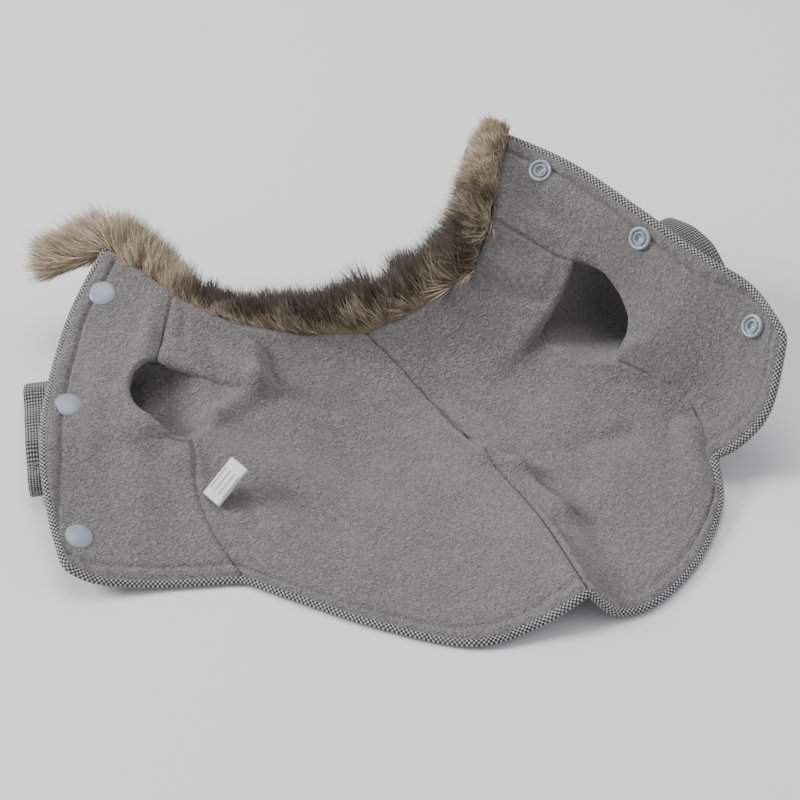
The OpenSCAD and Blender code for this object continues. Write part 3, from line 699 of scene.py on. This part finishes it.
# ---- Cuffs ----
# A doubled tweed band, 16 mm deep, folded over each sleeve's end and turned in over the
# lining, with soft lengthwise folds where the sleeve lies flat.
# Profile: place along the sleeve from its end, and distance out from its outer cloth
CUFF = [(-13.0, 0.15), (-13.2, 0.8), (-12.6, 1.4), (-8, 1.7), (-2, 1.7), (1.8, 1.6), (2.8, 1.0),
        (3.1, 0.0), (3.1, -2.6), (2.8, -3.4), (1.5, -3.9), (-5, -3.9), (-5.2, -3.4), (-4.8, -3.0),
        (0.5, -2.9), (0.8, -2.4), (0.8, -0.4), (0.4, 0.1)]
CUFF_GIRTH = 0.145                         # of the band, in metres
CUFF_RIPPLE = {"left": 1.3, "right": 0.35}
ABOVE_FLOOR = 0.2
for side in ("left", "right"):
    sections = SLEEVES[side]
    way = np.subtract(sections[-1][0], sections[-2][0])
    way = way / np.linalg.norm(way)
    a = 2 * np.pi * np.arange(RING) / RING
    ripple = CUFF_RIPPLE[side] * (np.sin(6 * a + 0.5) + 0.7 * np.sin(11 * a + 2))
    rings = np.stack([section_ring([np.array(sections[-1][0]) + way * d, *sections[-1][1:]], -o)
                      + (ripple * (0.5 + 0.5 * np.clip((d + 13) / 16, 0, 1)))[:, None] * [0, 0, 1]
                      for d, o in CUFF])
    rings[..., 2] = np.maximum(rings[..., 2], ABOVE_FLOOR)
    rings = np.concatenate([rings, rings[:1]])
    n, m = RING, len(rings) - 1
    i, k = np.meshgrid(np.arange(m), np.arange(n), indexing="ij")
    at = lambda i, k: (i % m) * n + k % n
    faces = np.stack([at(i, k), at(i, k + 1), at(i + 1, k + 1), at(i + 1, k)], axis=2)
    run = length_along(CUFF + CUFF[:1])
    uv = np.stack([np.stack([run[i + di] * MM, (k + dk) * CUFF_GIRTH / n], axis=2)
                   for di, dk in ((0, 0), (0, 1), (1, 1), (1, 0))], axis=2)
    cuff = turned_out(solid("tweed_cuff_" + side, rings[:-1].reshape(-1, 3),
                            faces.reshape(-1, 4), uv.reshape(-1, 4, 2)))
    cuff.data.materials.append(tweed)
    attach(cuff, "back")
    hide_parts("cuff_" + side)

# ---- Collar: its core and satin facing ----
# Long-haired faux fur on a soft core, sewn along the neckline and faced underneath with
# blue-grey satin. It is in three stretches, split where the fronts fold.
FUR_W, FUR_H = 25, 17                      # width and height of the whole fur
FUR_CLEAR = 2.4                            # gap between the neckline and the fur
SPLIT = 0.004                              # half the gap between stretches, as a share
FACING_OUT, FACING_IN = 1.9, 1.0           # the facing's two sides, outside the fur's section
COLLAR_TIP = [-103, 131, 42]
neck_left = [COLLAR_TIP] + curve_at(LEFT["neck_front"], np.linspace(1, 0, 7)).tolist()
neck_back = (curve_at(LEFT["neck_back"], np.linspace(0, 1, 11)).tolist()
             + curve_at(RIGHT["neck_back"], np.linspace(1, 0, 11)).tolist()[1:])
neck_right = curve_at(RIGHT["neck_front"], np.linspace(0, 1, 8)).tolist()
NECKLINE = np.array(neck_left + neck_back[1:] + neck_right[1:])
LEFT_CORNER = (len(neck_left) - 1) / (len(NECKLINE) - 1)
RIGHT_CORNER = 1 - (len(neck_right) - 1) / (len(NECKLINE) - 1)
STRETCHES = {
    "left": (0, LEFT_CORNER - SPLIT, lambda s: np.cos(np.pi / 2 * s)),
    "back": (LEFT_CORNER + SPLIT, RIGHT_CORNER - SPLIT, lambda s: np.sin(np.pi * s)),
    "right": (RIGHT_CORNER + SPLIT, 1, lambda s: np.sin(np.pi / 2 * s))}
BODY_OF = {"left": "front_left", "back": "back", "right": "front_right"}


def collar_frame(t, rise):
    """Middles of the collar's sections, their level outward directions and half widths."""
    way = curve_at(NECKLINE, t + 0.04) - curve_at(NECKLINE, t - 0.04)
    out = np.stack([-way[:, 1], way[:, 0], 0 * t], axis=1)
    out /= np.linalg.norm(out, axis=1)[:, None]
    wide = FUR_W / 2 * (0.75 + 0.25 * rise)
    middle = curve_at(NECKLINE, t) + out * (FUR_CLEAR + wide)[:, None]
    middle[:, 2] += 7 * rise - 7
    return middle, out, wide, way / np.linalg.norm(way, axis=1)[:, None]


def collar_rings(t, rise, angles, grow):
    middle, out, wide, _ = collar_frame(t, rise)
    a = np.radians(angles)
    return (middle[:, None] + ((wide[:, None] + grow) * np.cos(a))[..., None] * out[:, None]
            + ((FUR_H / 2 + grow) * np.sin(a))[..., None] * np.array([0, 0, 1]))


satin = finish("satin", lambda place, flat: {
    "Base Color": place.noise(0.012).mixed((0.12, 0.13, 0.16), (0.18, 0.20, 0.24)),
    "Normal": (flat.part("X") * (2 * math.pi / 0.0007)).sine().raised(0.00003)},
    Roughness=0.35, Sheen_Weight=0.2)


def fur_colour(place, flat):
    """Cream at both ends and brown between them, paler at the skin, with dark tips."""
    read = lambda name: place.node("ShaderNodeAttribute", {"attribute_name": name}, {}, 2)
    along, where, tone = read("hair_along"), read("collar_place"), read("hair_tone")
    patch = place.noise(0.016, 2.0) - 0.5
    spot = where + patch * 0.05
    dark = spot.between(0.20, 0.27) * (1 - spot.between(0.74, 0.80))
    streak = spot.between(0.80, 0.825) * (1 - spot.between(0.855, 0.875))
    dark = dark + streak * 0.7
    dark = dark.math("MINIMUM", dark, 1.0)
    dark = dark * (read("far_side") + patch * 0.5).between(-0.10, 0.16)
    cream = tone.between(0.2, 0.9).mixed((0.36, 0.25, 0.14), (0.92, 0.82, 0.64))
    brown = tone.between(0.25, 0.95).mixed((0.035, 0.022, 0.015), (0.26, 0.17, 0.10))
    tan = tone.mixed((0.34, 0.23, 0.13), (0.66, 0.52, 0.35))
    body = dark.mixed(cream, brown)
    skin = along.between(0.10, 0.42).mixed(dark.mixed((0.36, 0.26, 0.16), tan), body)
    tip = along.between(0.60, 0.90) * (0.40 + dark * 0.55) * tone.between(0.1, 0.5)
    return {"Base Color": tip.mixed(skin, (0.045, 0.030, 0.022))}


fur = finish("fur", fur_colour, Roughness=0.55, Sheen_Weight=0.15)
CORE = 0.42                        # size of the core, as a share of the whole fur
# Along the collar from the left tip: share of the way, hair length, lift of the core in millimetres
FUR_ALONG = np.array([(0, 0.85, -1), (0.1, 0.72, -3), (0.2, 0.66, -2), (0.32, 0.60, -1),
                      (0.45, 0.85, 0.5), (0.6, 1.0, 1), (0.8, 0.80, 2), (0.9, 0.58, 2.5),
                      (1, 0.40, 2.5)])
for name, (start, end, rise) in STRETCHES.items():
    steps = 120 if name == "back" else 48
    s = np.linspace(0, 1, steps + 1)
    t = start + (end - start) * s
    facing_angles = np.linspace(190 if name == "left" else 236, 292, 25)
    outer = collar_rings(t, rise(s), facing_angles, FACING_OUT)
    inner = collar_rings(t, rise(s), facing_angles[::-1], FACING_IN)
    strip = np.concatenate([outer, inner], axis=1)
    run = length_along(strip[:, 0])
    facing = lofted("satin_facing_" + name, strip, None, run * MM,
                    np.arange(strip.shape[1]) * MM)
    facing.data.materials.append(satin)
    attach(facing, BODY_OF[name])
    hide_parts("collar_facing_" + name)

# ---- Collar: hair ----
# The hair is up to 24 mm long, shorter towards the right end, and leans away from the coat and
# towards the left. Its roots stand in the core, and each hair is a thin spike with a curved back.
HAIR_LENGTH, HAIR_R = 21.0, 0.24
HAIRS_EACH = 10400                         # in each part of the fur
PARTS = {"left": 2, "back": 4, "right": 2}
rng = np.random.default_rng(7)


def spike(length, thick):
    """One hair along +Z, three-sided, bent a little towards +X."""
    heights = (0.0, 0.38, 0.74)
    widths = (1, 0.85, 0.5)
    rings = [[(0.10 * length * h * h + thick * w * math.cos(a), thick * w * math.sin(a), length * h)
              for a in (0, 2 * math.pi / 3, 4 * math.pi / 3)] for h, w in zip(heights, widths)]
    points = [p for r in rings for p in r] + [(0.12 * length, 0, length)]
    faces = [(2, 1, 0)]
    for i in (0, 3):
        faces += [(i + k, i + (k + 1) % 3, i + 3 + (k + 1) % 3, i + 3 + k) for k in range(3)]
    faces += [(6 + k, 6 + (k + 1) % 3, 9) for k in range(3)]
    hair = solid("one_hair", np.array(points), faces)
    mark = hair.data.attributes.new("hair_along", "FLOAT", "POINT")
    mark.data.foreach_set("value", [h for h in heights for _ in range(3)] + [1.0])
    return hair


def fur_tree(material):
    """Geometry Nodes: hairs scattered over a core, along its comb directions."""
    tree = bpy.data.node_groups.new("fur", "GeometryNodeTree")
    face = tree.interface
    face.new_socket("Core", in_out="INPUT", socket_type="NodeSocketGeometry")
    for name, kind in (("Hair", "NodeSocketObject"), ("Hairs per square metre", "NodeSocketFloat"),
                       ("Unruliness", "NodeSocketFloat"), ("Seed", "NodeSocketInt")):
        face.new_socket(name, in_out="INPUT", socket_type=kind)
    face.new_socket("Fur", in_out="OUTPUT", socket_type="NodeSocketGeometry")
    link = tree.links.new

    def add(kind, **settings):
        node = tree.nodes.new(kind)
        for k, v in settings.items():
            setattr(node, k, v)
        return node

    given, result = add("NodeGroupInput"), add("NodeGroupOutput")
    scatter = add("GeometryNodeDistributePointsOnFaces")
    link(given.outputs["Core"], scatter.inputs["Mesh"])
    link(given.outputs["Hairs per square metre"], scatter.inputs["Density"])
    link(given.outputs["Seed"], scatter.inputs["Seed"])
    comb = add("GeometryNodeInputNamedAttribute", data_type="FLOAT_VECTOR")
    comb.inputs["Name"].default_value = "comb"
    astray = add("FunctionNodeRandomValue", data_type="FLOAT_VECTOR")
    astray.inputs["Min"].default_value = (-1, -1, -1)
    link(given.outputs["Seed"], astray.inputs["Seed"])
    scaled = add("ShaderNodeVectorMath", operation="SCALE")
    link(astray.outputs["Value"], scaled.inputs[0])
    link(given.outputs["Unruliness"], scaled.inputs["Scale"])
    way = add("ShaderNodeVectorMath", operation="ADD")
    link(comb.outputs["Attribute"], way.inputs[0])
    link(scaled.outputs[0], way.inputs[1])
    turn = add("FunctionNodeAlignRotationToVector", axis="Z")
    link(way.outputs[0], turn.inputs["Vector"])
    spin = add("FunctionNodeRandomValue", data_type="FLOAT")
    spin.inputs[2].default_value, spin.inputs[3].default_value = 0.0, 2 * math.pi
    spun = add("FunctionNodeAxisAngleToRotation")
    spun.inputs["Axis"].default_value = (0, 0, 1)
    link(spin.outputs[1], spun.inputs["Angle"])
    whole = add("FunctionNodeRotateRotation", rotation_space="LOCAL")
    link(turn.outputs[0], whole.inputs[0])
    link(spun.outputs[0], whole.inputs[1])
    long = add("GeometryNodeInputNamedAttribute", data_type="FLOAT")
    long.inputs["Name"].default_value = "hair_length"
    vary = add("FunctionNodeRandomValue", data_type="FLOAT")
    vary.inputs[2].default_value, vary.inputs[3].default_value = 0.5, 1.15
    vary.inputs["Seed"].default_value = 3
    stretch = add("ShaderNodeMath", operation="MULTIPLY")
    link(long.outputs["Attribute"], stretch.inputs[0])
    link(vary.outputs[1], stretch.inputs[1])
    size = add("ShaderNodeCombineXYZ")
    size.inputs["X"].default_value = size.inputs["Y"].default_value = 1.0
    link(stretch.outputs[0], size.inputs["Z"])
    source = add("GeometryNodeObjectInfo")
    link(given.outputs["Hair"], source.inputs["Object"])
    grow = add("GeometryNodeInstanceOnPoints")
    link(scatter.outputs["Points"], grow.inputs["Points"])
    link(source.outputs["Geometry"], grow.inputs["Instance"])
    link(whole.outputs[0], grow.inputs["Rotation"])
    link(size.outputs[0], grow.inputs["Scale"])
    tone = add("FunctionNodeRandomValue", data_type="FLOAT")
    tone.inputs["Seed"].default_value = 11
    keep = add("GeometryNodeStoreNamedAttribute", data_type="FLOAT", domain="INSTANCE")
    keep.inputs["Name"].default_value = "hair_tone"
    link(grow.outputs["Instances"], keep.inputs["Geometry"])
    link(tone.outputs[1], keep.inputs["Value"])
    real = add("GeometryNodeRealizeInstances")
    link(keep.outputs[0], real.inputs[0])
    dressed = add("GeometryNodeSetMaterial")
    dressed.inputs["Material"].default_value = material
    link(real.outputs[0], dressed.inputs["Geometry"])
    link(dressed.outputs[0], result.inputs["Fur"])
    return tree


def grown(name, tree, base, values):
    """The mesh that a tree makes from an object, as a new object."""
    modifier = base.modifiers.new("made", "NODES")
    modifier.node_group = tree
    ids = {s.name: s.identifier for s in tree.interface.items_tree if s.in_out == "INPUT"}
    for key, value in values.items():
        modifier[ids[key]] = value
    graph = bpy.context.evaluated_depsgraph_get()
    mesh = bpy.data.meshes.new_from_object(base.evaluated_get(graph))
    mesh.name = name
    base.modifiers.remove(modifier)
    piece = bpy.data.objects.new(name, mesh)
    bpy.context.scene.collection.objects.link(piece)
    return piece


def smooth_noise(shape, size):
    """Random numbers on a grid, the same over patches of about size cells, wrapped round."""
    rough = rng.standard_normal(shape)
    for axis, cells in enumerate(size):
        kernel = np.hanning(2 * cells + 3)[1:-1]
        kernel /= kernel.sum()
        blurred = lambda line: np.convolve(np.pad(line, cells, mode="wrap"), kernel, "valid")
        rough = np.apply_along_axis(blurred, axis, rough)
    return rough / rough.std()


one_hair = spike(HAIR_LENGTH, HAIR_R)
tree = fur_tree(fur)
angles = np.linspace(0, 360, 40, endpoint=False)
for name, (start, end, rise) in STRETCHES.items():
    steps = 200 if name == "back" else 72
    s = np.linspace(0, 1, steps + 1)
    t = start + (end - start) * s
    middle, out, wide, way = collar_frame(t, rise(s))
    core_size = CORE * np.interp(t, [0, 0.75, 1], [1, 1, 0.7])
    around = collar_rings(t, rise(s), angles, 0) - middle[:, None]
    rings = middle[:, None] + around * core_size[:, None, None]
    rings -= out[:, None] * (FUR_CLEAR + 0.6 + wide * (1 - core_size))[:, None, None]
    rings[:, :, 2] += np.interp(t, FUR_ALONG[:, 0], FUR_ALONG[:, 2])[:, None]
    for end_ring, inner in ((0, 1), (-1, -2)):
        rings[end_ring] = rings[inner].mean(axis=0) + (rings[inner] - rings[inner].mean(axis=0)) * 0.3
    core = lofted("fur_core_" + name, rings, None, s, np.arange(len(angles)) * MM)
    a = np.radians(angles)
    normal = np.cos(a)[None, :, None] * out[:, None] + np.sin(a)[None, :, None] * np.array([0, 0, 1])
    clump = np.stack([smooth_noise(normal.shape[:2], (3, 2)) for _ in range(3)], axis=2)
    comb = (normal * 0.55 + out[:, None] * 0.75 + np.array([0, 0, 0.35])
            - way[:, None] * 0.28 + clump * 0.15)
    if name == "left":
        comb -= (way[:, None] * 1.3 * np.clip(1 - s * 3.2, 0, 1)[:, None, None])
    comb /= np.linalg.norm(comb, axis=2)[..., None]
    length = (1.0 + 0.12 * smooth_noise(normal.shape[:2], (4, 3))) * np.interp(
        np.sin(a), [-1, 0, 1], [0.55, 0.95, 1.0])[None]
    length = length * np.interp(t, FUR_ALONG[:, 0], FUR_ALONG[:, 1])[:, None]
    far = np.broadcast_to(0.5 + 0.5 * np.cos(a), normal.shape[:2])
    place = np.broadcast_to(t[:, None], normal.shape[:2])
    for key, kind, values in (("comb", "FLOAT_VECTOR", comb), ("hair_length", "FLOAT", length),
                              ("collar_place", "FLOAT", place), ("far_side", "FLOAT", far),
                              ("hair_along", "FLOAT", place * 0 + 0.3),
                              ("hair_tone", "FLOAT", place * 0 + 0.2)):
        mark = core.data.attributes.new(key, kind, "POINT")
        mark.data.foreach_set("vector" if kind == "FLOAT_VECTOR" else "value",
                              np.ascontiguousarray(values, np.float32).ravel())
    core.data.materials.append(fur)
    area = sum(p.area for p in core.data.polygons)
    for part in range(PARTS[name]):
        hair = grown(f"fur_{name}_{part + 1}", tree, core, {
            "Hair": one_hair, "Hairs per square metre": HAIRS_EACH / area, "Unruliness": 0.20,
            "Seed": part + 1})
        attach(hair, BODY_OF[name])
    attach(core, BODY_OF[name])
    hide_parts("collar_fur_" + name)
bpy.data.objects.remove(one_hair)

# ---- Snaps ----
# Moulded plastic snap fasteners, size 20: domed pale blue-grey caps with studs under the left
# front edge, and pearly ring sockets on the right one, held by caps on the outside.


def lathed(name, profile, place, axis, sides=64):
    """A turned piece from (radius, height) pairs in millimetres, standing on place."""
    a = 2 * np.pi * np.arange(sides) / sides
    rings = np.array([[(r * math.cos(b), r * math.sin(b), h) for b in a] for r, h in profile])
    piece = lofted(name, rings, None, np.linspace(0, 0.01, len(profile)), a * MM)
    turn = Vector(axis).to_track_quat("Z", "Y").to_matrix().to_4x4()
    piece.data.transform(Matrix.Translation(Vector(place)) @ turn)
    return piece


def moulded(colour, pale, pearl):
    return lambda place, flat: {
        "Base Color": place.noise(0.004, 2.0).mixed(colour, pale),
        "Roughness": place.noise(0.0015, 3.0) * 0.14 + (0.24 if pearl else 0.30),
        "Normal": place.noise(0.0009).raised(0.00002)}


left_plastic = finish("blue_grey_plastic", moulded((0.27, 0.31, 0.38), (0.33, 0.37, 0.44), False),
                      Coat_Weight=0.15, Coat_Roughness=0.25)
right_plastic = finish("pearly_plastic", moulded((0.30, 0.34, 0.40), (0.42, 0.46, 0.52), True),
                       Coat_Weight=0.5, Coat_Roughness=0.12)
MOUNTS = {m["name"]: m for m in frame["record"]["mounts"]}
# Half section of a socket, from the middle of its base out, over the rim and down into its hole:
# radius and height above its mount
SOCKET = [(0, -2.0), (5.0, -2.0), (5.3, -1.8), (5.3, 0.3), (5.15, 0.75), (4.8, 1.0), (4.4, 1.0),
          (4.05, 0.8), (3.95, 0.3), (3.9, -0.6), (3.7, -0.8), (3.2, -0.8), (3.05, -0.6), (2.98, 0.5),
          (2.8, 0.8), (2.5, 0.85), (2.25, 0.65), (2.2, 0.2), (2.2, -1.0), (0.02, -1.0)]
for k in (1, 2, 3):
    mount = MOUNTS[f"snap_socket_{k}"]
    ring = lathed(f"snap_ring_right_{k}", SOCKET, mount["pos_m"], mount["axis"])
    ring.data.materials.append(right_plastic)
    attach(ring, "front_right")
    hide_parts(f"snap_socket_right_{k}")
    for node, plastic in ((f"snap_cap_left_{k}", left_plastic), (f"snap_stud_left_{k}", left_plastic),
                          (f"snap_cap_right_{k}", right_plastic)):
        cad = frame["nodes"][node]
        cad.data.materials.clear()
        cad.data.materials.append(plastic)

# ---- Woven label ----
# A white satin ribbon doubled back on itself, its two ends caught in the left side seam, so
# that its fold stands up over the lining. It carries only plain woven lines.
LABEL_ROOT, LABEL_TURN, LABEL_LEAN = [-100.2, -18, 16], 11, 34
LABEL_L, LABEL_W, RIBBON_T, RIBBON_GAP = 21, 11, 0.35, 0.25
BOW, CURL = 0.05, 0.1                      # across the ribbon and along it


def label_look(place, flat):
    warp = (flat.part("X") * (2 * math.pi / 0.0005)).sine()
    rib = flat.part("Y")
    lines = (rib * (2 * math.pi / 0.0026)).sine().between(0.55, 0.8)
    inside = flat.part("X").between(0.025, 0.0255) * (1 - flat.part("X").between(0.0365, 0.037))
    return {"Base Color": (lines * inside * 0.75).mixed((0.80, 0.80, 0.80), (0.16, 0.16, 0.17)),
            "Normal": warp.raised(0.00004)}


woven_white = finish("label_ribbon", label_look, Roughness=0.5, Sheen_Weight=0.2)
middle_r = RIBBON_GAP + RIBBON_T / 2
s = np.linspace(0.8, LABEL_L - 0.6, 30)
curl = lambda x: CURL * np.sin(x / LABEL_L * 2.6)
bow = lambda y: BOW * (1 - (2 * y / LABEL_W)**2)
turn = np.radians(np.linspace(-90, 90, 11))[1:-1]
spine = np.concatenate([
    np.stack([s, curl(s) - middle_r], axis=1),
    np.stack([LABEL_L - 0.6 + middle_r * np.cos(turn),
              curl(LABEL_L - 0.6) + middle_r * np.sin(turn)], axis=1),
    np.stack([s[::-1], curl(s[::-1]) + middle_r], axis=1)])
normal = np.gradient(spine, axis=0)[:, ::-1] * [1, -1]
normal /= np.linalg.norm(normal, axis=1)[:, None]
rings = []
for p, n in zip(spine, normal):
    rings.append([(p[0] + n[0] * h, y, p[1] + n[1] * h + bow(y))
                  for y, h in [(y, RIBBON_T / 2) for y in np.linspace(-LABEL_W / 2, LABEL_W / 2, 9)]
                  + [(y, -RIBBON_T / 2) for y in np.linspace(LABEL_W / 2, -LABEL_W / 2, 9)]])
ribbon_run = length_along(spine) * MM
label = lofted("label_ribbon", np.array(rings), None, ribbon_run,
               np.linspace(0, 2 * LABEL_W, 18, endpoint=False) * MM)
label.data.transform(Matrix.Translation(Vector(LABEL_ROOT) * MM)
                     @ Matrix.Rotation(math.radians(LABEL_TURN), 4, "Z")
                     @ Matrix.Rotation(math.radians(-LABEL_LEAN), 4, "Y"))
label.data.materials.append(woven_white)
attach(label, "label")
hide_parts("woven_label")

# ---- Floor ----
# The pale, plain, matt surface that the coat lies on. It is 6 m square, so that its edges are
# out of sight.
FLOOR_R = 3000
floor = solid("floor", [(-FLOOR_R, -FLOOR_R, 0), (FLOOR_R, -FLOOR_R, 0), (FLOOR_R, FLOOR_R, 0),
                        (-FLOOR_R, FLOOR_R, 0)], [(0, 1, 2, 3)])
floor.data.materials.append(finish("floor", lambda place, flat: {
    "Base Color": place.noise(0.4).mixed((0.90, 0.90, 0.905), (0.92, 0.92, 0.925))}, Roughness=0.7))
